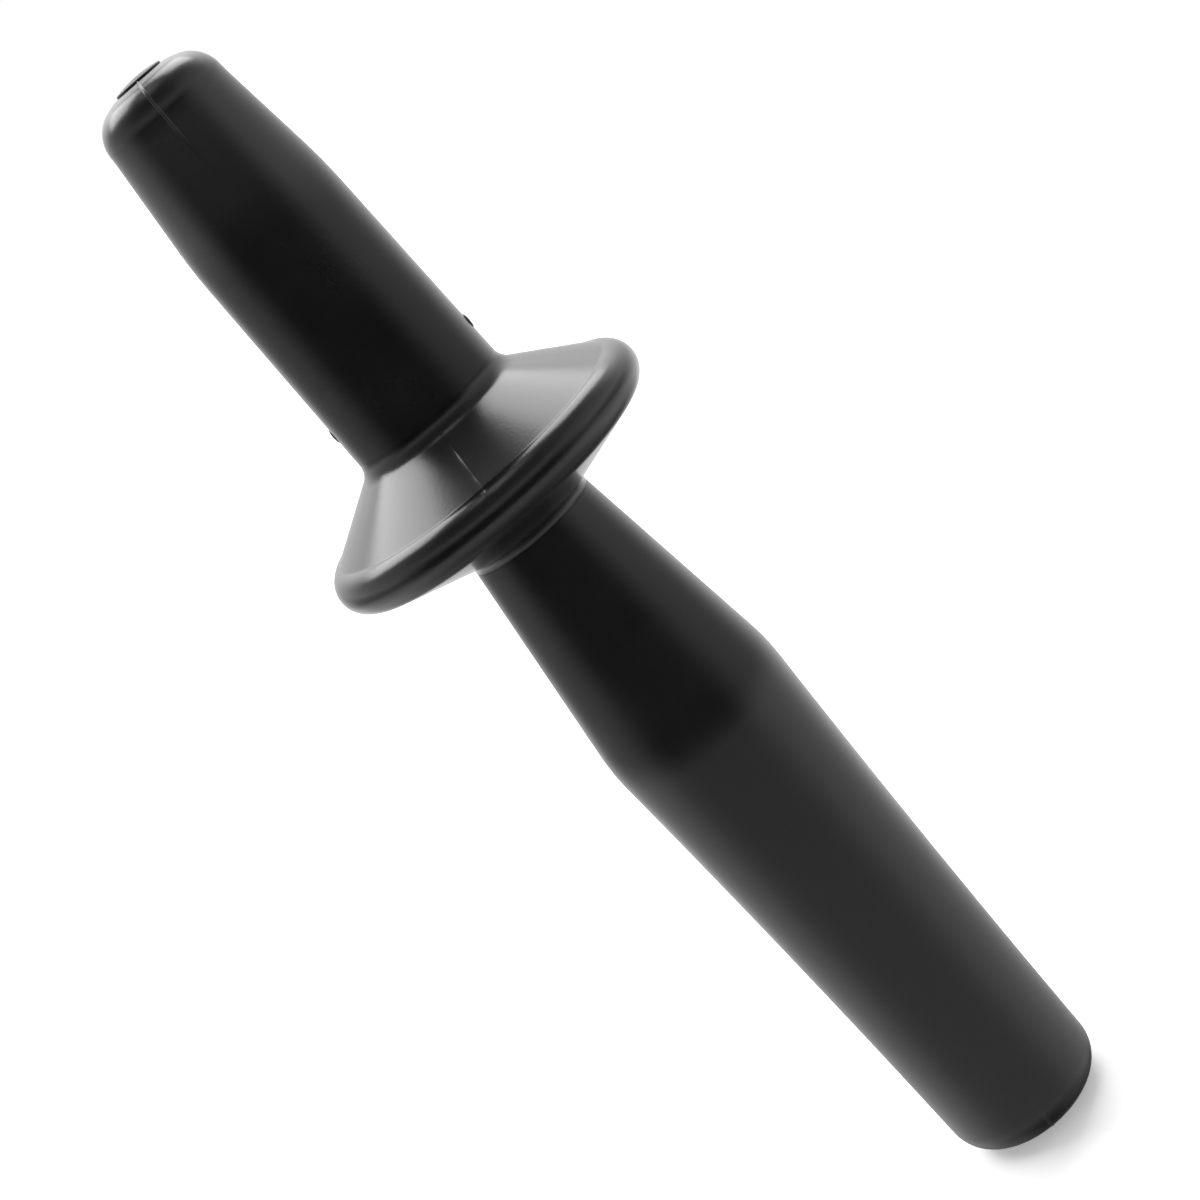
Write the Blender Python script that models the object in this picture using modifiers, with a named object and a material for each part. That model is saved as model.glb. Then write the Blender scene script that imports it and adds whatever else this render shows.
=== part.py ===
"""Blender tamper: a hollow grip, a splash disc and a tapered tamping shaft on a stepped core tube.

The tamper stands upright on the flat end of its grip. Z runs up its axis, from the grip's flat
end at Z = 0 to the tip, and every turned piece shares that axis. The cross pin lies along X.
"""
import math

import bpy

COLLECTION_NAME = "blender_tamper"
CUTTER_COLLECTION_NAME = "cutters"

# Facets round the axis, and the gap that neighbouring pieces keep.
TURN_STEPS = 48
FINE_STEPS = 32
GAP = 0.0003
MERGE_DISTANCE = 0.00001

# Grip: flat end, big end rounding, a long swell to the knee, then a straight taper to the neck.
GRIP_END_R = 0.0168
GRIP_END_ROUNDING = 0.0073
KNEE_R = 0.01965
KNEE_Z = 0.1112
KNEE_SOFTNESS = 0.0040
GRIP_HOLLOWING = 0.00045
NECK_R = 0.0135
NECK_Z = 0.1578
GRIP_FLOOR = 0.0040
GRIP_BORE_R = 0.0129
SOCKET_R = 0.0114
SOCKET_Z = 0.1250
SOCKET_TAPER = 0.0060

# Splash disc: fillet at the neck, shallow lower cone, round rim bead that stands a little proud of
# the steep upper cone, fillet to the shaft.
RIM_R = 0.0357
RIM_ROUNDING = 0.0047
RIM_PROUD = 0.0003
RIM_Z = 0.1710
LOWER_SLOPE = math.radians(22.0)
UPPER_SLOPE = math.radians(32.7)
NECK_FILLET = 0.0020
SHAFT_FILLET = 0.0042
DISC_WALL = 0.0022
HUB_BORE_R = 0.0130
HUB_SHOULDER_Z = 0.1657
LOWER_COLLAR_R = 0.0150
LOWER_COLLAR_Z = 0.1682
UPPER_COLLAR_R = 0.0155
UPPER_COLLAR_Z = 0.1805

# Tamping shaft: nearly straight, then a taper, a rounded shoulder and a low crown with a hole.
SHAFT_BASE_R = 0.01632
SHAFT_BREAK_R = 0.01548
SHAFT_BREAK_Z = 0.2337
TIP_R = 0.0128
TIP_ROUNDING = 0.0067
TIP_SHOULDER_Z = 0.25775
TIP_FACE_Z = 0.26475
TIP_ARC_END = math.radians(74.0)
SHAFT_BORE_TOP_R = 0.0098
SHAFT_BORE_BREAK_Z = 0.2290
TIP_WALL = 0.0030
PLUG_HOLE_R = 0.0040

# Core tube: lower spigot in the grip, shoulder under the disc's hub, upper spigot in the shaft.
CORE_BOTTOM_Z = 0.1290
CORE_TOP_Z = 0.2170
CORE_LOWER_R = SOCKET_R - GAP
CORE_UPPER_R = HUB_BORE_R - GAP
CORE_LOWER_BORE_R = 0.0086
CORE_UPPER_BORE_R = 0.0101
CORE_SHOULDER_Z = HUB_SHOULDER_Z + GAP
CORE_WEB = 0.0026
CORE_CHAMFER = 0.0008

# Cross pin through the shaft and the core tube.
PIN_R = 0.0015
PIN_Z = 0.1947
PIN_HALF_LENGTH = 0.01655
PIN_CHAMFER = 0.0002

# Tip plug: a low domed head on the tip's flat, and a stem in the tip's hole.
PLUG_HEAD_R = 0.0050
PLUG_HEAD_EDGE = 0.00025
PLUG_CROWN = 0.0005
PLUG_STEM_R = PLUG_HOLE_R - GAP
PLUG_STEM_LENGTH = 0.0080
PLUG_CHAMFER = 0.0008
PLUG_FLAT_R = 0.0060


def clear_scene():
    for old in list(bpy.data.objects):
        bpy.data.objects.remove(old, do_unlink=True)


def make_collection(name):
    collection = bpy.data.collections.new(name)
    bpy.context.scene.collection.children.link(collection)
    return collection


def make_material(name, colour, roughness, metallic=0.0):
    material = bpy.data.materials.new(name)
    material.use_nodes = True
    shader = material.node_tree.nodes["Principled BSDF"]
    shader.inputs["Base Color"].default_value = (*colour, 1.0)
    shader.inputs["Roughness"].default_value = roughness
    shader.inputs["Metallic"].default_value = metallic
    return material


def arc(centre_r, centre_z, radius, start, end, steps):
    """Points on an arc in the radius-height plane. Angles are in radians from the outward direction."""
    points = []
    for k in range(steps + 1):
        angle = start + (end - start) * k / steps
        points.append((centre_r + radius * math.cos(angle), centre_z + radius * math.sin(angle)))
    return points


def turned(name, profile, collection, material, closed, steps=TURN_STEPS):
    """Turn a profile of (radius, height) points about Z. It runs down its outer side."""
    mesh = bpy.data.meshes.new(name)
    vertices = [(r, 0.0, z) for r, z in profile]
    edges = [(k, k + 1) for k in range(len(profile) - 1)]
    if closed:
        edges.append((len(profile) - 1, 0))
    mesh.from_pydata(vertices, edges, [])
    mesh.materials.append(material)
    piece = bpy.data.objects.new(name, mesh)
    collection.objects.link(piece)
    screw = piece.modifiers.new("turn", "SCREW")
    screw.axis = "Z"
    screw.angle = math.tau
    screw.steps = steps
    screw.render_steps = steps
    screw.use_merge_vertices = True
    screw.merge_threshold = MERGE_DISTANCE
    screw.use_smooth_shade = True
    return piece


def grip_radius(z):
    """Outer radius of the grip between its end rounding and the knee: a line, very slightly hollowed."""
    t = (z - GRIP_END_ROUNDING) / (KNEE_Z - GRIP_END_ROUNDING)
    straight = GRIP_END_R + (KNEE_R - GRIP_END_R) * t
    return straight - GRIP_HOLLOWING * 4.0 * t * (1.0 - t)


def knee_points(steps=4):
    """The knee's soft turn, a quadratic curve from the swell into the straight taper."""
    low_z = KNEE_Z - KNEE_SOFTNESS
    high_z = KNEE_Z + KNEE_SOFTNESS
    taper = (KNEE_R - NECK_R) / (NECK_Z - KNEE_Z)
    start = (grip_radius(low_z), low_z)
    end = (KNEE_R - taper * KNEE_SOFTNESS, high_z)
    points = []
    for k in range(steps + 1):
        t = k / steps
        r = (1 - t) ** 2 * start[0] + 2 * t * (1 - t) * KNEE_R + t ** 2 * end[0]
        z = (1 - t) ** 2 * start[1] + 2 * t * (1 - t) * KNEE_Z + t ** 2 * end[1]
        points.append((r, z))
    return points


def make_handle_grip(collection):
    inside = [(0.0, GRIP_FLOOR), (GRIP_END_ROUNDING, GRIP_FLOOR)]
    inside += [(GRIP_BORE_R, GRIP_END_ROUNDING + 0.5 * GRIP_FLOOR)]
    inside += [(GRIP_BORE_R, SOCKET_Z - SOCKET_TAPER), (SOCKET_R, SOCKET_Z), (SOCKET_R, NECK_Z)]
    swell_steps = 8
    swell_top = KNEE_Z - KNEE_SOFTNESS
    swell = []
    for k in range(1, swell_steps):
        z = swell_top + (GRIP_END_ROUNDING - swell_top) * k / swell_steps
        swell.append((grip_radius(z), z))
    end_centre_r = GRIP_END_R - GRIP_END_ROUNDING
    rounding = arc(end_centre_r, GRIP_END_ROUNDING, GRIP_END_ROUNDING, 0.0, -math.pi / 2, 8)
    outside = [(NECK_R, NECK_Z)] + knee_points()[::-1] + swell + rounding + [(0.0, 0.0)]
    material = make_material("grip_black_plastic", (0.020, 0.021, 0.022), 0.34)
    return turned("handle_grip", inside + outside, collection, material, closed=False)


def rim_points(rounding, steps, overlap=0.0):
    """The rim's round edge, from the upper cone over the outermost point to the lower cone.

    overlap is how much further the arc runs at its top, in radians, to meet a cone that lies lower.
    """
    centre_r = RIM_R - RIM_ROUNDING
    start = math.pi / 2 - UPPER_SLOPE + overlap
    return arc(centre_r, RIM_Z, rounding, start, LOWER_SLOPE - math.pi / 2, steps)


def shaft_fillet_centre_z():
    """Height where the fillet between upper cone and shaft is tangent to the shaft."""
    cone_r, cone_z = rim_points(RIM_ROUNDING - RIM_PROUD, 1)[0]
    touch_r = SHAFT_BASE_R + SHAFT_FILLET * (1.0 - math.sin(UPPER_SLOPE))
    touch_z = cone_z + (cone_r - touch_r) * math.tan(UPPER_SLOPE)
    return touch_z + SHAFT_FILLET * math.cos(UPPER_SLOPE)


def make_splash_disc(collection):
    top_z = shaft_fillet_centre_z()
    bottom_z = NECK_Z + GAP
    fillet_end = math.radians(270.0) - UPPER_SLOPE
    outside = [(HUB_BORE_R, top_z)]
    outside += arc(SHAFT_BASE_R + SHAFT_FILLET, top_z, SHAFT_FILLET, math.pi, fillet_end, 5)
    outside += rim_points(RIM_ROUNDING, 12, math.acos(1.0 - RIM_PROUD / RIM_ROUNDING))
    outside += arc(NECK_R + NECK_FILLET, bottom_z, NECK_FILLET, math.pi / 2 + LOWER_SLOPE, math.pi, 4)
    hub = [(SOCKET_R, bottom_z), (SOCKET_R, HUB_SHOULDER_Z), (HUB_BORE_R, HUB_SHOULDER_Z)]
    hub += [(HUB_BORE_R, LOWER_COLLAR_Z), (LOWER_COLLAR_R, LOWER_COLLAR_Z)]
    cavity_rim = rim_points(RIM_ROUNDING - DISC_WALL, 6)[::-1]
    low_r, low_z = cavity_rim[0]
    high_r, high_z = cavity_rim[-1]
    lower_corner = (LOWER_COLLAR_R, low_z - (low_r - LOWER_COLLAR_R) * math.tan(LOWER_SLOPE))
    upper_corner = (UPPER_COLLAR_R, high_z + (high_r - UPPER_COLLAR_R) * math.tan(UPPER_SLOPE))
    cavity = [lower_corner] + cavity_rim + [upper_corner]
    cavity += [(UPPER_COLLAR_R, UPPER_COLLAR_Z), (HUB_BORE_R, UPPER_COLLAR_Z)]
    material = make_material("disc_black_plastic", (0.022, 0.023, 0.024), 0.30)
    return turned("splash_disc", outside + hub + cavity, collection, material, closed=True)


def crown_points(arc_end_r, arc_end_z, steps):
    """Low cone from the tip's rounded shoulder to the flat under the plug's head, top first."""
    points = []
    for k in range(steps):
        t = k / steps
        r = PLUG_FLAT_R + (arc_end_r - PLUG_FLAT_R) * t
        z = TIP_FACE_Z + (arc_end_z - TIP_FACE_Z) * t
        points.append((r, z))
    return points


def make_tamping_shaft(collection, cutters):
    base_z = shaft_fillet_centre_z() + GAP
    ceiling_z = TIP_FACE_Z - TIP_WALL
    inside = [(PLUG_HOLE_R, ceiling_z), (PLUG_HOLE_R, TIP_FACE_Z)]
    shoulder = arc(TIP_R - TIP_ROUNDING, TIP_SHOULDER_Z, TIP_ROUNDING, TIP_ARC_END, 0.0, 7)
    outside = crown_points(*shoulder[0], steps=3) + shoulder
    outside += [(SHAFT_BREAK_R, SHAFT_BREAK_Z), (SHAFT_BASE_R, base_z)]
    bore = [(HUB_BORE_R, base_z), (HUB_BORE_R, SHAFT_BORE_BREAK_Z), (SHAFT_BORE_TOP_R, TIP_SHOULDER_Z)]
    bore += [(TIP_R - TIP_ROUNDING, ceiling_z)]
    material = make_material("shaft_black_plastic", (0.020, 0.021, 0.022), 0.32)
    shaft = turned("tamping_shaft", inside + outside + bore, collection, material, closed=True)
    cut_pin_hole(shaft, cutters)
    return shaft


def make_core_tube(collection, cutters):
    top_web_z = CORE_SHOULDER_Z + CORE_WEB
    inside = [(CORE_LOWER_BORE_R, CORE_BOTTOM_Z), (CORE_LOWER_BORE_R, top_web_z)]
    inside += [(CORE_UPPER_BORE_R, top_web_z), (CORE_UPPER_BORE_R, CORE_TOP_Z)]
    outside = [(CORE_UPPER_R - CORE_CHAMFER, CORE_TOP_Z), (CORE_UPPER_R, CORE_TOP_Z - CORE_CHAMFER)]
    outside += [(CORE_UPPER_R, CORE_SHOULDER_Z), (CORE_LOWER_R, CORE_SHOULDER_Z)]
    outside += [(CORE_LOWER_R, CORE_BOTTOM_Z + CORE_CHAMFER)]
    outside += [(CORE_LOWER_R - CORE_CHAMFER, CORE_BOTTOM_Z)]
    material = make_material("core_grey_plastic", (0.23, 0.24, 0.25), 0.45)
    core = turned("core_tube", inside + outside, collection, material, closed=True)
    cut_pin_hole(core, cutters)
    return core


def make_pin_hole_cutter(cutters):
    """A bar along X, one gap wider than the pin, that cuts the pin's holes."""
    bpy.ops.mesh.primitive_cylinder_add(vertices=FINE_STEPS, radius=PIN_R + GAP, depth=2.0 * RIM_R)
    cutter = bpy.context.object
    cutter.name = "pin_hole_cutter"
    cutter.location = (0.0, 0.0, PIN_Z)
    cutter.rotation_euler = (0.0, math.pi / 2, 0.0)
    cutter.hide_render = True
    cutter.display_type = "WIRE"
    for owner in list(cutter.users_collection):
        owner.objects.unlink(cutter)
    cutters.objects.link(cutter)
    return cutter


def cut_pin_hole(piece, cutters):
    cut = piece.modifiers.new("pin_hole", "BOOLEAN")
    cut.operation = "DIFFERENCE"
    cut.solver = "EXACT"
    cut.object = cutters.objects["pin_hole_cutter"]


def make_cross_pin(collection):
    """A plain pin with chamfered ends, turned about Z and laid along X."""
    profile = [(0.0, PIN_HALF_LENGTH), (PIN_R - PIN_CHAMFER, PIN_HALF_LENGTH)]
    profile += [(PIN_R, PIN_HALF_LENGTH - PIN_CHAMFER), (PIN_R, PIN_CHAMFER - PIN_HALF_LENGTH)]
    profile += [(PIN_R - PIN_CHAMFER, -PIN_HALF_LENGTH), (0.0, -PIN_HALF_LENGTH)]
    material = make_material("pin_black_plastic", (0.016, 0.016, 0.017), 0.40)
    pin = turned("cross_pin", profile, collection, material, closed=False, steps=FINE_STEPS)
    pin.location = (0.0, 0.0, PIN_Z)
    pin.rotation_euler = (0.0, math.pi / 2, 0.0)
    return pin


def make_tip_plug(collection):
    head_z = TIP_FACE_Z + GAP
    edge_z = head_z + PLUG_HEAD_EDGE
    crown = []
    crown_steps = 4
    for k in range(crown_steps + 1):
        t = k / crown_steps
        crown.append((PLUG_HEAD_R * t, edge_z + PLUG_CROWN * (1.0 - t * t)))
    stem_bottom = head_z - PLUG_STEM_LENGTH
    stem = [(PLUG_HEAD_R, head_z), (PLUG_STEM_R, head_z), (PLUG_STEM_R, stem_bottom + PLUG_CHAMFER)]
    stem += [(PLUG_STEM_R - PLUG_CHAMFER, stem_bottom), (0.0, stem_bottom)]
    material = make_material("plug_black_plastic", (0.014, 0.014, 0.015), 0.48)
    return turned("tip_plug", crown + stem, collection, material, closed=False)


def main():
    clear_scene()
    parts = make_collection(COLLECTION_NAME)
    cutters = make_collection(CUTTER_COLLECTION_NAME)
    make_pin_hole_cutter(cutters)
    make_handle_grip(parts)
    make_splash_disc(parts)
    make_tamping_shaft(parts, cutters)
    make_core_tube(parts, cutters)
    make_cross_pin(parts)
    make_tip_plug(parts)


main()
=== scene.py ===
"""Looks of the blender tamper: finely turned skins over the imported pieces, in a soft white studio.

The frame is upright: Z runs up the tool's axis from the grip's flat end to the tip. The mould lines lie at
the front (-Y) and the back (+Y), and the cross pin lies along X.
"""

import math

import bmesh
import bpy
from mathutils import Matrix, Vector


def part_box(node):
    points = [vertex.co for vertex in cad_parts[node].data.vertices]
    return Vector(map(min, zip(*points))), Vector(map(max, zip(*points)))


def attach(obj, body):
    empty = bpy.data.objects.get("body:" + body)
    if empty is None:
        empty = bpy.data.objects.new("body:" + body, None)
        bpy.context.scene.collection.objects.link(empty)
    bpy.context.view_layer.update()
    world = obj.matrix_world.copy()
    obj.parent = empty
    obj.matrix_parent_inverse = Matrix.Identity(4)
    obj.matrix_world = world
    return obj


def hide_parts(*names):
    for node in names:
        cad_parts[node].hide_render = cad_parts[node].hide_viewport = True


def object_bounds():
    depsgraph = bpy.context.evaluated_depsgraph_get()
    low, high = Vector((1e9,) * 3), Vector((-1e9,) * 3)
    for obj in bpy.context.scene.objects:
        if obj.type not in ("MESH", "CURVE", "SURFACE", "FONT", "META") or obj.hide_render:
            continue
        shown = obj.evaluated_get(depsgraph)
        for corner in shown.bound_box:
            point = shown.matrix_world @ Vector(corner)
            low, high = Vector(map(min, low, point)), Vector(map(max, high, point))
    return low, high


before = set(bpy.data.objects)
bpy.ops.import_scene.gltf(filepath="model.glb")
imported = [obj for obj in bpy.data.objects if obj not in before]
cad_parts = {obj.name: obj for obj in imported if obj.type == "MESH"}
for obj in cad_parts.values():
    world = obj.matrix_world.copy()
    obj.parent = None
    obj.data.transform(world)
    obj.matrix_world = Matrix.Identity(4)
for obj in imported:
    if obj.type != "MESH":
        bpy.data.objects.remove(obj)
CAD_LOW, CAD_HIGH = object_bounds()
MM = 0.001


def reach(node):
    """Outermost radius of a node about the tool's axis."""
    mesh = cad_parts[node].data
    return max(math.hypot(vertex.co.x, vertex.co.y) for vertex in mesh.vertices)


# Heights and radii read from the frame.
TIP_Z = CAD_HIGH[2]
NECK_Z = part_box("handle_grip")[1][2]
DISC_LOW_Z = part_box("splash_disc")[0][2]
DISC_HIGH_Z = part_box("splash_disc")[1][2]
SHAFT_LOW_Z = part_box("tamping_shaft")[0][2]
TIP_FACE_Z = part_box("tamping_shaft")[1][2]
RIM_R = reach("splash_disc")
SHAFT_BASE_R = reach("tamping_shaft")
PIN_LOW, PIN_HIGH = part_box("cross_pin")
PLUG_HEAD_R = reach("tip_plug")
PLUG_LOW_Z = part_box("tip_plug")[0][2]

# Hairline joints: each skin closes most of the 0.3 mm gap that the CAD pieces keep.
JOINT = 0.05 * MM
CAD_GAP = DISC_LOW_Z - NECK_Z
REACH_OUT = 0.5 * (CAD_GAP - JOINT)

# Turned skins: columns of faces round the axis, the angle from which an edge is shown sharp, and the distance
# within which points count as one.
COLUMNS = 160
SHARP_ANGLE = math.radians(38.0)
SAME_PLACE = 0.0001 * MM

# Grip.
GRIP_END_R = 16.8 * MM
GRIP_END_ROUNDING = 7.3 * MM
GRIP_HOLLOWING = 0.45 * MM
GRIP_FLOOR = 4.0 * MM
GRIP_BORE_R = 12.9 * MM
KNEE_R = 19.65 * MM
KNEE_Z = 111.2 * MM
KNEE_SOFTNESS = 4.0 * MM
NECK_R = 13.5 * MM
SOCKET_R = 11.4 * MM
SOCKET_Z = 125.0 * MM
SOCKET_TAPER = 6.0 * MM

# Splash disc. Its rim is a bead that stands a little proud of the upper cone, with a soft crease between.
RIM_ROUNDING = 4.7 * MM
RIM_PROUD = 0.3 * MM
RIM_CREASE = 1.6 * MM
RIM_Z = 171.0 * MM
LOWER_SLOPE = math.radians(22.0)
UPPER_SLOPE = math.radians(32.7)
NECK_FILLET = 2.0 * MM
SHAFT_FILLET = 4.2 * MM
HUB_BORE_R = 13.0 * MM
HUB_SHOULDER_Z = 165.7 * MM

# Tamping shaft and its plug.
SHAFT_BREAK_R = 15.48 * MM
SHAFT_BREAK_Z = 233.7 * MM
SHAFT_BREAK_SOFTNESS = 5.0 * MM
SHAFT_BORE_BREAK_Z = 229.0 * MM
SHAFT_BORE_TOP_R = 9.8 * MM
TIP_R = 12.8 * MM
TIP_ROUNDING = 6.7 * MM
TIP_SHOULDER_Z = 257.75 * MM
TIP_ARC_END = math.radians(74.0)
TIP_WALL = 3.0 * MM
PLUG_HOLE_R = 4.0 * MM
PLUG_FLAT_R = 6.0 * MM
PLUG_CROWN = 0.5 * MM
PLUG_EDGE = 0.2 * MM
PLUG_STEM_R = 3.7 * MM
PLUG_CHAMFER = 0.8 * MM

# Cross pin.
PIN_Z = 0.5 * (PIN_LOW[2] + PIN_HIGH[2])
PIN_R = 0.5 * (PIN_HIGH[2] - PIN_LOW[2])
PIN_CROWN = 0.12 * MM
PIN_ROUNDING = 0.3 * MM

# Mould line: a fine raised bead along the front and the back. Its section is half a cosine wave, drawn at
# these shares of its half width.
SEAM_HALF_WIDTH = 0.30 * MM
SEAM_HEIGHT = 0.20 * MM
SEAM_SHARES = (-1.0, -0.6, -0.25, 0.0, 0.25, 0.6, 1.0)

# How strong the mould line is on each piece, as a share of its full height, and where that changes.
GRIP_SEAM_FAINT = 0.10
GRIP_SEAM_EXTRA = 0.40
GRIP_SEAM_FADE = (8.0 * MM, 26.0 * MM)
DISC_SEAM_FAINT = 0.06
DISC_SEAM_EXTRA = 0.24
BLOB_EXTRA = 0.4
BLOB_R = 24.0 * MM
BLOB_WIDTH = 0.5 * MM
SHAFT_SEAM_FAINT = 0.08
SHAFT_SEAM_EXTRA = 0.92
SHAFT_SEAM_RISE = (246.0 * MM, 255.0 * MM)

# Plastics: mean base colours, and the band that most values of a noise texture lie in.
NOISE_BAND = (0.3, 0.7)
PLASTIC_IOR = 1.5
RUB_ROUGHNESS = 0.02
BLACK = (0.0040, 0.0041, 0.0043)
PIN_BLACK = (0.0050, 0.0050, 0.0052)
PLUG_BLACK = (0.0080, 0.0080, 0.0082)
CORE_GREY = (0.22, 0.23, 0.24)

# Floor.
FLOOR_R = 30.0
FLOOR_DROP = 0.2 * MM
FLOOR_GLOW = 0.3
FLOOR_TONES = (0.93, 0.96)
FLOOR_ROUGHNESS = 0.9

# Camera: where the eye stands in the frame, how far it looks down, and how far the picture is turned
# (radians) and shifted (shares of its width).
EYE_DISTANCE = 474.0 * MM
EYE_AZIMUTH = math.radians(3.2)
EYE_ABOVE_TIP = -4.9 * MM
EYE_TILT = math.radians(14.4)
EYE_ROLL = math.radians(41.37)
HALF_VIEW = math.radians(13.0)
VIEW_SHIFT = (0.0038, -0.0008)

# What the tool mirrors: brightness against elevation in degrees, where the white surround is 1. The dark
# front is centred on the azimuth given here. The three skies blend into each other between two cosines of
# the angle from that centre. A mix node has several outputs of one name, so its colour is taken by number.
BRIGHTEST = 2.5
DARK_FRONT_AZIMUTH = -9.0
MIX_COLOUR_OUTPUT = 2
BACK_TO_SIDE = (-0.9, -0.5)
SIDE_TO_FRONT = (0.20, 0.70)
FRONT_SKY = (
    (-90.0, 0.05), (-75.0, 0.10), (-60.0, 0.35), (-45.0, 0.75), (-32.0, 0.85), (-26.0, 0.72),
    (-21.0, 0.35), (-18.0, 0.00), (6.0, 0.00), (12.0, 0.30), (20.0, 0.70), (27.0, 0.65), (36.0, 0.25),
    (60.0, 0.15), (73.0, 0.19), (81.0, 1.08), (90.0, 1.80))
SIDE_SKY = (
    (-90.0, 0.10), (-60.0, 0.40), (-35.0, 1.20), (-20.0, 1.00), (-10.0, 0.38), (-3.0, 0.50),
    (5.0, 1.10), (15.0, 0.90), (32.0, 0.70), (50.0, 0.40), (73.0, 0.31), (81.0, 1.08), (90.0, 1.80))
BACK_SKY = (
    (-90.0, 0.05), (-60.0, 0.10), (-40.0, 0.20), (-29.0, 0.80), (-20.0, 1.45), (-10.0, 1.25),
    (2.0, 1.05), (14.0, 1.50), (24.0, 2.40), (34.0, 1.90), (42.0, 1.50), (48.0, 0.30), (56.0, 0.20),
    (66.0, 0.35), (73.0, 0.32), (81.0, 1.08), (90.0, 1.80))
# Softboxes behind the tool: azimuth, elevation, half width, half height (degrees), brightness. Their edges
# fade over this far on either side, as a tangent.
REAR_LEFT_BOX = (-142.0, 50.0, 17.0, 17.0, 6.3)
REAR_RIGHT_BOX = (151.0, 48.0, 15.0, 17.0, 6.0)
BOX_EDGE_FADE = 0.05


# ---------------------------------------------------------------------------------------------
# Profiles. Each is a list of (radius, height) points that runs down the piece's outer side. The hollow ones
# also run up the bore.
# ---------------------------------------------------------------------------------------------


def arc(centre_r, centre_z, radius, start, end, steps):
    """Points of a round stretch. Angles are measured from the outward direction, up being positive."""
    points = []
    for k in range(steps + 1):
        angle = start + (end - start) * k / steps
        points.append((centre_r + radius * math.cos(angle), centre_z + radius * math.sin(angle)))
    return points


def soft_corner(before, corner, after, steps):
    """A quadratic curve that rounds the corner between two points."""
    points = []
    for k in range(steps + 1):
        t = k / steps
        a, b, c = (1 - t) ** 2, 2 * t * (1 - t), t ** 2
        r = a * before[0] + b * corner[0] + c * after[0]
        z = a * before[1] + b * corner[1] + c * after[1]
        points.append((r, z))
    return points


def between(low, high, z):
    """The point at height z on the line from low to high."""
    t = (z - low[1]) / (high[1] - low[1])
    return (low[0] + (high[0] - low[0]) * t, z)


def swell_radius(z):
    """Grip radius from its end rounding to the knee: a line, very slightly hollowed."""
    t = (z - GRIP_END_ROUNDING) / (KNEE_Z - GRIP_END_ROUNDING)
    return GRIP_END_R + (KNEE_R - GRIP_END_R) * t - GRIP_HOLLOWING * 4.0 * t * (1.0 - t)


def grip_profile():
    top_z = NECK_Z + REACH_OUT
    neck = (NECK_R, top_z)
    knee = (KNEE_R, KNEE_Z)
    above = between(knee, neck, KNEE_Z + KNEE_SOFTNESS)
    swell_top = KNEE_Z - KNEE_SOFTNESS
    below = (swell_radius(swell_top), swell_top)
    outside = [neck]
    neck_rows = 16
    for k in range(1, neck_rows):
        outside.append(between(above, neck, top_z + (above[1] - top_z) * k / neck_rows))
    outside += soft_corner(above, knee, below, steps=12)
    swell_rows = 32
    for k in range(1, swell_rows):
        z = swell_top + (GRIP_END_ROUNDING - swell_top) * k / swell_rows
        outside.append((swell_radius(z), z))
    end_centre_r = GRIP_END_R - GRIP_END_ROUNDING
    outside += arc(end_centre_r, GRIP_END_ROUNDING, GRIP_END_ROUNDING, 0.0, -math.pi / 2, steps=24)
    outside += [(0.5 * end_centre_r, 0.0), (0.0, 0.0)]
    inside = [(0.0, GRIP_FLOOR), (GRIP_END_ROUNDING, GRIP_FLOOR)]
    inside += [(GRIP_BORE_R, GRIP_END_ROUNDING + 0.5 * GRIP_FLOOR)]
    inside += [(GRIP_BORE_R, SOCKET_Z - SOCKET_TAPER), (SOCKET_R, SOCKET_Z), (SOCKET_R, top_z)]
    return inside + outside


def crease_and_rim():
    """The soft crease at the foot of the upper cone, then the rim's bead, down to the lower cone."""
    bead_r = RIM_R - RIM_ROUNDING
    lift = RIM_ROUNDING - RIM_PROUD + RIM_CREASE  # the crease's centre above the bead's, square to the cone
    reach_in = math.acos(lift / (RIM_ROUNDING + RIM_CREASE))
    facing = math.pi / 2 - UPPER_SLOPE + reach_in
    centre_r = bead_r + (RIM_ROUNDING + RIM_CREASE) * math.cos(facing)
    centre_z = RIM_Z + (RIM_ROUNDING + RIM_CREASE) * math.sin(facing)
    crease = arc(centre_r, centre_z, RIM_CREASE, -math.pi / 2 - UPPER_SLOPE, facing - math.pi, steps=10)
    bead = arc(bead_r, RIM_Z, RIM_ROUNDING, facing, LOWER_SLOPE - math.pi / 2, steps=44)
    return crease + bead[1:]


def cone_rows(low, high, rows):
    """Points strictly between two ends of a cone."""
    points = []
    for k in range(1, rows):
        t = k / rows
        points.append((low[0] + (high[0] - low[0]) * t, low[1] + (high[1] - low[1]) * t))
    return points


def disc_profile():
    top_z = DISC_HIGH_Z + REACH_OUT
    bottom_z = DISC_LOW_Z - REACH_OUT
    fillet_end = 1.5 * math.pi - UPPER_SLOPE
    top_fillet = arc(SHAFT_BASE_R + SHAFT_FILLET, DISC_HIGH_Z, SHAFT_FILLET, math.pi, fillet_end, steps=16)
    rim = crease_and_rim()
    low_start = math.pi / 2 + LOWER_SLOPE
    low_fillet = arc(NECK_R + NECK_FILLET, DISC_LOW_Z, NECK_FILLET, low_start, math.pi, steps=10)
    outside = [(HUB_BORE_R, top_z), (SHAFT_BASE_R, top_z)] + top_fillet
    outside += cone_rows(top_fillet[-1], rim[0], rows=12) + rim
    outside += cone_rows(rim[-1], low_fillet[0], rows=10) + low_fillet
    outside += [(NECK_R, bottom_z), (SOCKET_R, bottom_z)]
    outside += [(SOCKET_R, HUB_SHOULDER_Z), (HUB_BORE_R, HUB_SHOULDER_Z), (HUB_BORE_R, top_z)]
    return outside


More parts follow.
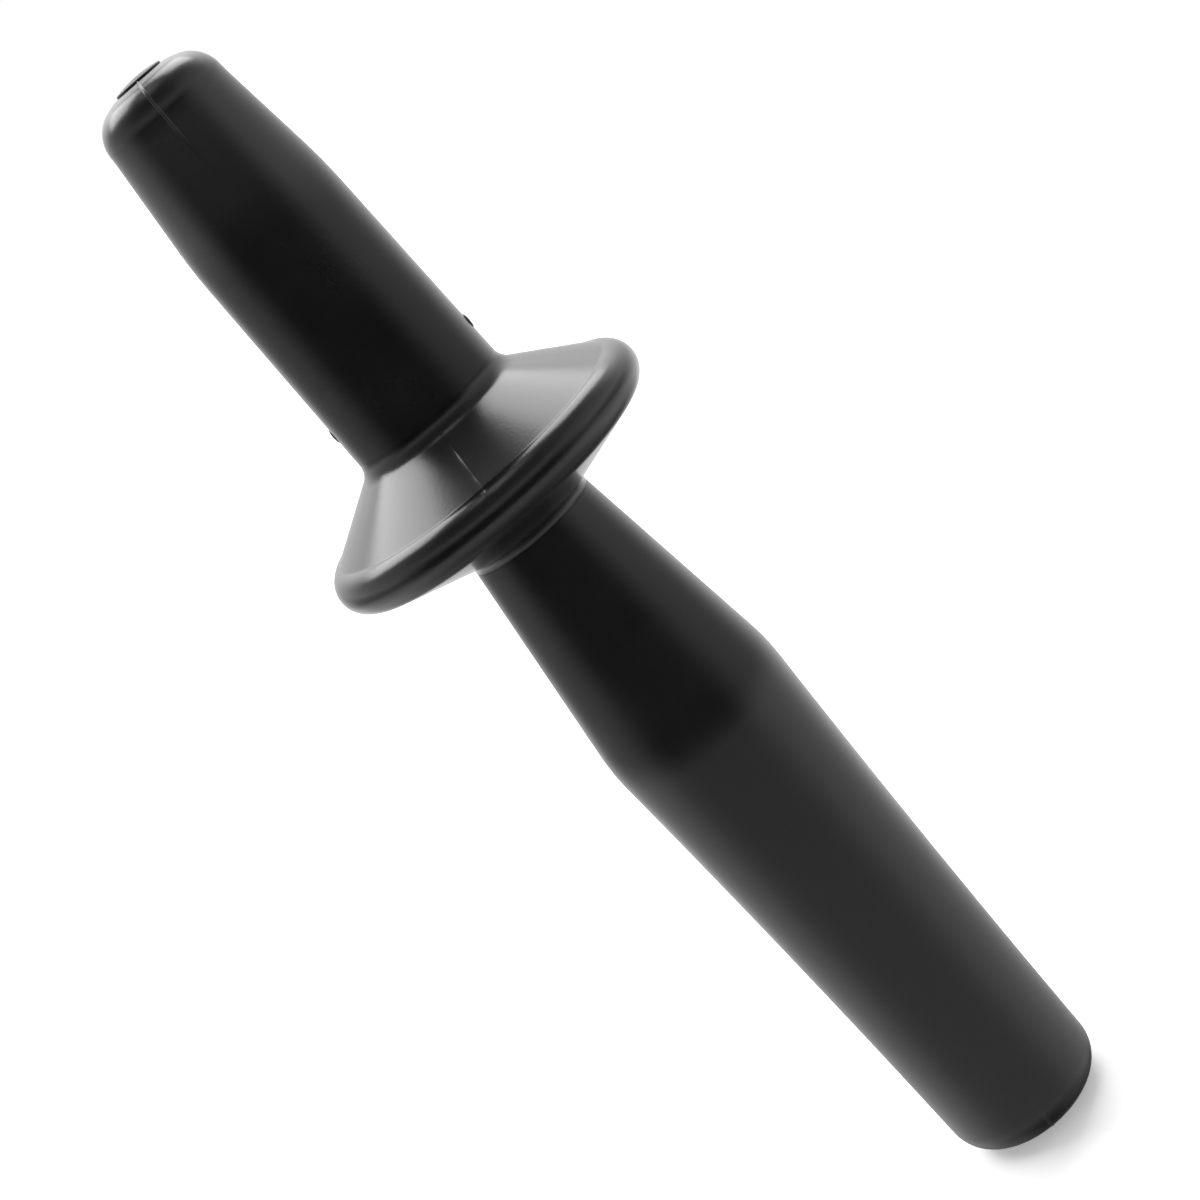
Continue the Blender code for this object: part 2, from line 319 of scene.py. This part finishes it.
def shaft_profile():
    base_z = SHAFT_LOW_Z - REACH_OUT
    ceiling_z = TIP_FACE_Z - TIP_WALL
    shoulder = arc(TIP_R - TIP_ROUNDING, TIP_SHOULDER_Z, TIP_ROUNDING, TIP_ARC_END, 0.0, steps=28)
    crown = []
    crown_rows = 6
    for k in range(crown_rows):
        t = k / crown_rows
        r = PLUG_FLAT_R + (shoulder[0][0] - PLUG_FLAT_R) * t
        crown.append((r, TIP_FACE_Z + (shoulder[0][1] - TIP_FACE_Z) * t))
    base = (SHAFT_BASE_R, base_z)
    waist = (SHAFT_BREAK_R, SHAFT_BREAK_Z)
    upper = between(waist, shoulder[-1], SHAFT_BREAK_Z + SHAFT_BREAK_SOFTNESS)
    lower = between(base, waist, SHAFT_BREAK_Z - SHAFT_BREAK_SOFTNESS)
    outside = [(PLUG_HOLE_R, TIP_FACE_Z)] + crown + shoulder
    outside += cone_rows(shoulder[-1], upper, rows=8) + soft_corner(upper, waist, lower, steps=10)
    outside += cone_rows(lower, base, rows=20) + [base]
    bore = [(HUB_BORE_R, base_z), (HUB_BORE_R, SHAFT_BORE_BREAK_Z), (SHAFT_BORE_TOP_R, TIP_SHOULDER_Z)]
    bore += [(TIP_R - TIP_ROUNDING, ceiling_z), (PLUG_HOLE_R, ceiling_z), (PLUG_HOLE_R, TIP_FACE_Z)]
    return outside + bore


def plug_profile():
    """Head with a rounded edge and a low crown, then the stem."""
    head_z = TIP_FACE_Z + JOINT
    edge_z = TIP_Z - PLUG_CROWN
    flat_r = PLUG_HEAD_R - PLUG_EDGE
    crown = []
    crown_rows = 10
    for k in range(crown_rows + 1):
        t = k / crown_rows
        crown.append((flat_r * t, edge_z + PLUG_CROWN * (1.0 - t * t)))
    edge = arc(flat_r, edge_z - PLUG_EDGE, PLUG_EDGE, math.pi / 2, 0.0, steps=6)
    stem = [(PLUG_HEAD_R, head_z), (PLUG_STEM_R, head_z), (PLUG_STEM_R, PLUG_LOW_Z + PLUG_CHAMFER)]
    stem += [(PLUG_STEM_R - PLUG_CHAMFER, PLUG_LOW_Z), (0.0, PLUG_LOW_Z)]
    return crown + edge[1:] + stem


# ---------------------------------------------------------------------------------------------
# Turned skins, with the mould line raised along their front and back.
# ---------------------------------------------------------------------------------------------


def column_angles(r):
    """(angle, share of the mould line's height) for each column of faces at radius r."""
    step = math.tau / COLUMNS
    half_width = min(SEAM_HALF_WIDTH / max(r, 0.5 * MM), 0.9 * step)  # as an angle, narrower than a column
    columns = []
    for k in range(COLUMNS):
        angle = step * k
        if k % (COLUMNS // 2) != COLUMNS // 4:
            columns.append((angle, 0.0))
            continue
        for share in SEAM_SHARES:
            columns.append((angle + share * half_width, math.cos(share * math.pi / 2)))
    return columns


def outward_normals(profile):
    """Unit normals in the radius-height plane of a profile that runs down its outer side."""
    normals = []
    for k in range(len(profile)):
        before = profile[max(k - 1, 0)]
        after = profile[min(k + 1, len(profile) - 1)]
        along_r = after[0] - before[0]
        along_z = after[1] - before[1]
        length = math.hypot(along_r, along_z)
        normals.append((-along_z / length, along_r / length))
    return normals


def turned_skin(name, profile, seam, material):
    """Turns a profile about Z. seam(r, z) is the mould line's strength there, from 0 to 1."""
    bm = bmesh.new()
    rings = []
    for (r, z), (out_r, out_z) in zip(profile, outward_normals(profile)):
        if r < SAME_PLACE:
            rings.append([bm.verts.new((0.0, 0.0, z))])
            continue
        ring = []
        for angle, share in column_angles(r):
            height = SEAM_HEIGHT * share * seam(r, z)
            far = r + height * out_r
            place = (far * math.cos(angle), far * math.sin(angle), z + height * out_z)
            ring.append(bm.verts.new(place))
        rings.append(ring)
    for upper, lower in zip(rings, rings[1:]):
        count = max(len(upper), len(lower))
        for k in range(count):
            n = (k + 1) % count
            corners = [upper[k % len(upper)], lower[k % len(lower)]]
            if len(lower) > 1:
                corners.append(lower[n])
            if len(upper) > 1:
                corners.append(upper[n])
            bm.faces.new(corners)
    bmesh.ops.remove_doubles(bm, verts=bm.verts, dist=SAME_PLACE)
    bmesh.ops.recalc_face_normals(bm, faces=bm.faces)
    mesh = bpy.data.meshes.new(name)
    bm.to_mesh(mesh)
    bm.free()
    mesh.shade_smooth()
    mesh.set_sharp_from_angle(angle=SHARP_ANGLE)
    mesh.materials.append(material)
    piece = bpy.data.objects.new(name, mesh)
    bpy.context.scene.collection.objects.link(piece)
    return piece


def smooth_step(low, high, value):
    """0 up to low, 1 from high on, and a smooth rise between them."""
    t = min(max((value - low) / (high - low), 0.0), 1.0)
    return t * t * (3.0 - 2.0 * t)


def no_seam(r, z):
    return 0.0


def grip_seam(r, z):
    """Clearest on the end's rounding. It stops short of the flat face, and the bore has none."""
    on_end = 1.0 - smooth_step(*GRIP_SEAM_FADE, z)
    outside = smooth_step(GRIP_BORE_R + 0.2 * MM, GRIP_BORE_R + 0.4 * MM, r)
    end_face = smooth_step(0.2 * MM, 0.8 * MM, z) * (1.0 if z < GRIP_FLOOR - 0.1 * MM else outside)
    return end_face * (GRIP_SEAM_FAINT + GRIP_SEAM_EXTRA * on_end)


def disc_seam(r, z):
    """A broken line down the upper cone, with one blob. It dies out before the rim's widest circle."""
    outside = smooth_step(SHAFT_BASE_R, SHAFT_BASE_R + 0.5 * MM, r)
    on_cone = smooth_step(RIM_Z, RIM_Z + 2.0 * MM, z)
    clear_of_edge = 1.0 - smooth_step(RIM_R - 0.8 * MM, RIM_R - 0.2 * MM, r)
    # Two waves of different lengths break the line up unevenly.
    broken = 0.5 + 0.5 * math.sin(2.6 * r / MM) * math.sin(1.1 * r / MM + 0.7)
    blob = math.exp(-(((r - BLOB_R) / BLOB_WIDTH) ** 2))
    strength = DISC_SEAM_FAINT + DISC_SEAM_EXTRA * broken + BLOB_EXTRA * blob
    return outside * on_cone * clear_of_edge * strength


def shaft_seam(r, z):
    """Hardly there on the straight, clear over the rounded tip. The bore has none."""
    on_tip = smooth_step(*SHAFT_SEAM_RISE, z)
    outside = smooth_step(HUB_BORE_R + 0.1 * MM, HUB_BORE_R + 0.3 * MM, r)
    over_top = smooth_step(TIP_SHOULDER_Z, TIP_SHOULDER_Z + 1.0 * MM, z)
    over_top *= smooth_step(PLUG_FLAT_R - 1.0 * MM, PLUG_FLAT_R, r)
    near_tip = smooth_step(240.0 * MM, 242.0 * MM, z) * smooth_step(11.0 * MM, 11.6 * MM, r)
    return max(outside, over_top, near_tip) * (SHAFT_SEAM_FAINT + SHAFT_SEAM_EXTRA * on_tip)


# ---------------------------------------------------------------------------------------------
# Materials.
# ---------------------------------------------------------------------------------------------


class Nodes:
    """A short way to add nodes to a tree and join them."""

    def __init__(self, tree):
        self.tree = tree

    def add(self, kind, links=None, **settings):
        node = self.tree.nodes.new(kind)
        for key, value in settings.items():
            setattr(node, key, value)
        for socket, source in (links or {}).items():
            if isinstance(source, bpy.types.NodeSocket):
                self.tree.links.new(source, node.inputs[socket])
            else:
                node.inputs[socket].default_value = source
        return node

    def noise(self, vector, per_mm, detail=2.0, roughness=0.5):
        """A noise texture whose scale is given per millimetre."""
        links = {"Vector": vector, "Scale": per_mm / MM, "Detail": detail, "Roughness": roughness}
        return self.add("ShaderNodeTexNoise", links).outputs["Fac"]

    def remap(self, value, low, high, to_low, to_high):
        links = {"Value": value, "From Min": low, "From Max": high, "To Min": to_low, "To Max": to_high}
        return self.add("ShaderNodeMapRange", links).outputs["Result"]


def moulded_plastic(name, tone, roughness, grain, waviness):
    """Moulded plastic: a fine spark-eroded grain, slight sink waves, uneven polish and faint rubs.

    tone is the mean base colour. grain and waviness are depths in metres.
    """
    material = bpy.data.materials.new(name)
    material.use_nodes = True
    tree = material.node_tree
    nodes = Nodes(tree)
    shader = tree.nodes["Principled BSDF"]
    place = nodes.add("ShaderNodeTexCoord").outputs["Object"]

    # Slow clouds, fine specks, and streaks drawn out along the tool.
    stretch = {"Vector": place, "Scale": (1.0, 1.0, 0.12)}
    along = nodes.add("ShaderNodeMapping", stretch).outputs["Vector"]
    cloud = nodes.noise(place, per_mm=0.055, detail=3.0)
    speck = nodes.noise(place, per_mm=1.6, roughness=0.6)
    streak = nodes.noise(along, per_mm=0.9, detail=3.0, roughness=0.65)

    # The tone varies a little with the clouds and the specks.
    shade = nodes.remap(cloud, *NOISE_BAND, 0.80, 1.20)
    fine_shade = nodes.remap(speck, *NOISE_BAND, 0.90, 1.12)
    both = nodes.add("ShaderNodeMath", {0: shade, 1: fine_shade}, operation="MULTIPLY").outputs[0]
    scaled = {0: tone, "Scale": both}
    colour = nodes.add("ShaderNodeVectorMath", scaled, operation="SCALE").outputs["Vector"]
    tree.links.new(colour, shader.inputs["Base Color"])

    # The polish varies with the clouds, and the streaks are rubbed slightly duller.
    polish = nodes.remap(cloud, *NOISE_BAND, 0.92 * roughness, 1.08 * roughness)
    rubbed = nodes.remap(streak, 0.55, 0.85, 0.0, RUB_ROUGHNESS)
    rough = nodes.add("ShaderNodeMath", {0: polish, 1: rubbed}, operation="ADD").outputs[0]
    tree.links.new(rough, shader.inputs["Roughness"])

    # Slow sink waves, with the grain on top of them.
    wave = nodes.noise(place, per_mm=0.12, detail=1.0)
    waves = nodes.add("ShaderNodeBump", {"Height": wave, "Distance": waviness, "Strength": 1.0})
    pitted = {"Height": speck, "Distance": grain, "Strength": 1.0, "Normal": waves.outputs["Normal"]}
    grains = nodes.add("ShaderNodeBump", pitted)
    tree.links.new(grains.outputs["Normal"], shader.inputs["Normal"])
    shader.inputs["IOR"].default_value = PLASTIC_IOR
    return material


# ---------------------------------------------------------------------------------------------
# Pieces.
# ---------------------------------------------------------------------------------------------


def pin_hole_cutter():
    """A hidden bar along X that opens the pin's two holes in the shaft's skin."""
    radius = PIN_R + JOINT
    bm = bmesh.new()
    turn = Matrix.Rotation(math.pi / 2, 4, "Y")
    place = Matrix.Translation((0.0, 0.0, PIN_Z))
    size = {"radius1": radius, "radius2": radius, "depth": 2.0 * RIM_R}
    bmesh.ops.create_cone(bm, cap_ends=True, segments=48, matrix=place @ turn, **size)
    mesh = bpy.data.meshes.new("pin_hole_cutter")
    bm.to_mesh(mesh)
    bm.free()
    cutter = bpy.data.objects.new("pin_hole_cutter", mesh)
    bpy.context.scene.collection.objects.link(cutter)
    cutter.hide_render = True
    cutter.hide_viewport = True
    return cutter


def make_pin(material):
    """The cross pin along X. Both ends have a rounded edge and a low crown."""
    half_length = PIN_HIGH[0]
    flat_r = PIN_R - PIN_ROUNDING
    profile = []
    crown_rows = 6
    for k in range(crown_rows + 1):
        t = k / crown_rows
        profile.append((flat_r * t, half_length - PIN_CROWN * t * t))
    edge = arc(flat_r, half_length - PIN_CROWN - PIN_ROUNDING, PIN_ROUNDING, math.pi / 2, 0.0, steps=5)
    profile += edge[1:]
    profile += [(r, -z) for r, z in reversed(profile)]
    pin = turned_skin("cross_pin_skin", profile, no_seam, material)
    mesh = pin.data
    mesh.transform(Matrix.Rotation(math.pi / 2, 4, "Y"))
    mesh.transform(Matrix.Translation((0.0, 0.0, PIN_Z)))
    return pin


def finish_piece(piece, node):
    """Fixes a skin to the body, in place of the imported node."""
    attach(piece, "root")
    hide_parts(node)


def build_grip():
    plastic = moulded_plastic(
        "grip_moulded_plastic", BLACK, roughness=0.30, grain=0.010 * MM, waviness=0.02 * MM
    )
    grip = turned_skin("handle_grip_skin", grip_profile(), grip_seam, plastic)
    finish_piece(grip, "handle_grip")


def build_disc():
    plastic = moulded_plastic(
        "disc_moulded_plastic", BLACK, roughness=0.22, grain=0.014 * MM, waviness=0.02 * MM
    )
    disc = turned_skin("splash_disc_skin", disc_profile(), disc_seam, plastic)
    finish_piece(disc, "splash_disc")


def build_shaft():
    plastic = moulded_plastic(
        "shaft_moulded_plastic", BLACK, roughness=0.26, grain=0.010 * MM, waviness=0.02 * MM
    )
    shaft = turned_skin("tamping_shaft_skin", shaft_profile(), shaft_seam, plastic)
    cut = shaft.modifiers.new("pin_holes", "BOOLEAN")
    cut.operation = "DIFFERENCE"
    cut.solver = "EXACT"
    cut.object = pin_hole_cutter()
    finish_piece(shaft, "tamping_shaft")


def build_plug():
    plastic = moulded_plastic(
        "plug_moulded_plastic", PLUG_BLACK, roughness=0.42, grain=0.02 * MM, waviness=0.01 * MM
    )
    plug = turned_skin("tip_plug_skin", plug_profile(), no_seam, plastic)
    finish_piece(plug, "tip_plug")


def build_pin():
    plastic = moulded_plastic(
        "pin_moulded_plastic", PIN_BLACK, roughness=0.40, grain=0.02 * MM, waviness=0.02 * MM
    )
    finish_piece(make_pin(plastic), "cross_pin")


def dress_core():
    """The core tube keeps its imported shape, because it can't be seen from outside."""
    plastic = moulded_plastic(
        "core_moulded_plastic", CORE_GREY, roughness=0.45, grain=0.02 * MM, waviness=0.02 * MM
    )
    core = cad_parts["core_tube"]
    core.data.materials.clear()
    core.data.materials.append(plastic)


def build_pieces():
    build_grip()
    build_disc()
    build_shaft()
    build_plug()
    build_pin()
    dress_core()


# ---------------------------------------------------------------------------------------------
# Studio.
# ---------------------------------------------------------------------------------------------


def toward(azimuth, elevation):
    """Unit vector from angles in degrees. Azimuth 0 is the front (-Y) and 90 is +X. Up is elevation 90."""
    a = math.radians(azimuth)
    e = math.radians(elevation)
    return Vector((math.sin(a) * math.cos(e), -math.cos(a) * math.cos(e), math.sin(e)))


def make_floor():
    """A wide pale floor under the grip's end."""
    bm = bmesh.new()
    bmesh.ops.create_circle(bm, cap_ends=True, segments=96, radius=FLOOR_R)
    mesh = bpy.data.meshes.new("floor")
    bm.to_mesh(mesh)
    bm.free()
    floor = bpy.data.objects.new("floor", mesh)
    bpy.context.scene.collection.objects.link(floor)
    floor.location = (0.0, 0.0, -FLOOR_DROP)
    floor.visible_glossy = False
    floor.visible_shadow = False
    material = bpy.data.materials.new("floor_paper")
    material.use_nodes = True
    tree = material.node_tree
    nodes = Nodes(tree)
    shader = tree.nodes["Principled BSDF"]
    place = nodes.add("ShaderNodeTexCoord").outputs["Object"]
    fibre = nodes.noise(place, per_mm=0.4, detail=3.0)
    level = nodes.remap(fibre, *NOISE_BAND, *FLOOR_TONES)
    colour = nodes.add("ShaderNodeCombineColor", {"Red": level, "Green": level, "Blue": level})
    tree.links.new(colour.outputs["Color"], shader.inputs["Base Color"])
    shader.inputs["Roughness"].default_value = FLOOR_ROUGHNESS
    shader.inputs["Emission Color"].default_value = (1.0, 1.0, 1.0, 1.0)
    shader.inputs["Emission Strength"].default_value = FLOOR_GLOW
    mesh.materials.append(material)


def elevation_ramp(nodes, height, stops):
    """Brightness against elevation. stops are (elevation in degrees, brightness) pairs, lowest first."""
    ramp = nodes.add("ShaderNodeValToRGB", {"Fac": height})
    ramp.color_ramp.interpolation = "EASE"
    elements = ramp.color_ramp.elements
    while len(elements) > 1:
        elements.remove(elements[-1])
    for k, (elevation, level) in enumerate(stops):
        place = (elevation + 90.0) / 180.0
        element = elements[0] if k == 0 else elements.new(place)
        element.position = place
        grey = level / BRIGHTEST
        element.color = (grey, grey, grey, 1.0)
    return ramp.outputs["Color"]


def soft_window(nodes, direction, azimuth, elevation, half_width, half_height, level):
    """A square patch of sky of the given brightness. Half sizes are in degrees."""
    out = toward(azimuth, elevation)
    right = out.cross(Vector((0.0, 0.0, 1.0))).normalized()
    up = right.cross(out)
    ahead = nodes.add("ShaderNodeVectorMath", {0: direction, 1: out}, operation="DOT_PRODUCT")
    ahead = ahead.outputs["Value"]
    inside = nodes.remap(ahead, 0.1, 0.2, 0.0, level)
    for side, half in ((right, half_width), (up, half_height)):
        offset = nodes.add("ShaderNodeVectorMath", {0: direction, 1: side}, operation="DOT_PRODUCT")
        slope = nodes.add("ShaderNodeMath", {0: offset.outputs["Value"], 1: ahead}, operation="DIVIDE")
        across = nodes.add("ShaderNodeMath", {0: slope.outputs[0]}, operation="ABSOLUTE").outputs[0]
        edge = math.tan(math.radians(half))
        share = nodes.remap(across, edge - BOX_EDGE_FADE, edge + BOX_EDGE_FADE, 1.0, 0.0)
        inside = nodes.add("ShaderNodeMath", {0: inside, 1: share}, operation="MULTIPLY").outputs[0]
    return inside


def make_world():
    """White to the eye. To the object: a dark front, paler sides, a bright back, and two rear softboxes."""
    world = bpy.data.worlds.new("studio")
    bpy.context.scene.world = world
    world.use_nodes = True
    tree = world.node_tree
    nodes = Nodes(tree)
    surround = tree.nodes["Background"]
    out = tree.nodes["World Output"]
    direction = nodes.add("ShaderNodeTexCoord").outputs["Generated"]
    parts = nodes.add("ShaderNodeSeparateXYZ", {"Vector": direction}).outputs
    rise = nodes.add("ShaderNodeMath", {0: parts["Z"]}, operation="ARCSINE").outputs[0]
    height = nodes.remap(rise, -math.pi / 2, math.pi / 2, 0.0, 1.0)
    flat = nodes.add("ShaderNodeVectorMath", {0: direction, 1: (1.0, 1.0, 0.0)}, operation="MULTIPLY")
    compass = nodes.add("ShaderNodeVectorMath", {0: flat.outputs["Vector"]}, operation="NORMALIZE")
    facing = {0: compass.outputs["Vector"], 1: toward(DARK_FRONT_AZIMUTH, 0.0)}
    facing = nodes.add("ShaderNodeVectorMath", facing, operation="DOT_PRODUCT").outputs["Value"]
    in_front = nodes.remap(facing, *SIDE_TO_FRONT, 0.0, 1.0)
    behind = nodes.remap(facing, *BACK_TO_SIDE, 1.0, 0.0)

    front = elevation_ramp(nodes, height, FRONT_SKY)
    side = elevation_ramp(nodes, height, SIDE_SKY)
    back = elevation_ramp(nodes, height, BACK_SKY)
    sky = {"Factor": in_front, "A": side, "B": front}
    sky = nodes.add("ShaderNodeMix", sky, data_type="RGBA").outputs[MIX_COLOUR_OUTPUT]
    sky = {"Factor": behind, "A": sky, "B": back}
    sky = nodes.add("ShaderNodeMix", sky, data_type="RGBA").outputs[MIX_COLOUR_OUTPUT]
    level = nodes.add("ShaderNodeMath", {0: sky, 1: BRIGHTEST}, operation="MULTIPLY").outputs[0]
    for box in (REAR_LEFT_BOX, REAR_RIGHT_BOX):
        glow = soft_window(nodes, direction, *box)
        level = nodes.add("ShaderNodeMath", {0: level, 1: glow}, operation="MAXIMUM").outputs[0]
    tree.links.new(level, surround.inputs["Strength"])
    surround.inputs["Color"].default_value = (1.0, 1.0, 1.0, 1.0)
    seen = nodes.add("ShaderNodeBackground", {"Color": (1.0, 1.0, 1.0, 1.0), "Strength": 1.0})
    eye = nodes.add("ShaderNodeLightPath").outputs["Is Camera Ray"]
    mix = nodes.add("ShaderNodeMixShader", {0: eye, 1: surround.outputs[0], 2: seen.outputs[0]})
    tree.links.new(mix.outputs[0], out.inputs["Surface"])


def make_camera():
    """Looks at the tool from the front and a little above, with its tip at the picture's upper left."""
    data = bpy.data.cameras.new("camera")
    camera = bpy.data.objects.new("camera", data)
    bpy.context.scene.collection.objects.link(camera)
    data.angle = 2.0 * HALF_VIEW
    data.shift_x, data.shift_y = VIEW_SHIFT
    data.clip_start = 0.01
    data.clip_end = 100.0
    out = toward(math.degrees(EYE_AZIMUTH), 0.0)
    eye = out * EYE_DISTANCE + Vector((0.0, 0.0, TIP_Z + EYE_ABOVE_TIP))
    back = toward(math.degrees(EYE_AZIMUTH), math.degrees(EYE_TILT))
    level_view = back.to_track_quat("Z", "Y").to_matrix().to_4x4()
    roll = Matrix.Rotation(-EYE_ROLL, 4, "Z")
    camera.matrix_world = Matrix.Translation(eye) @ level_view @ roll
    bpy.context.scene.camera = camera


def make_studio():
    make_world()
    make_floor()
    make_camera()
    bpy.context.scene.view_settings.view_transform = "Standard"


build_pieces()
make_studio()
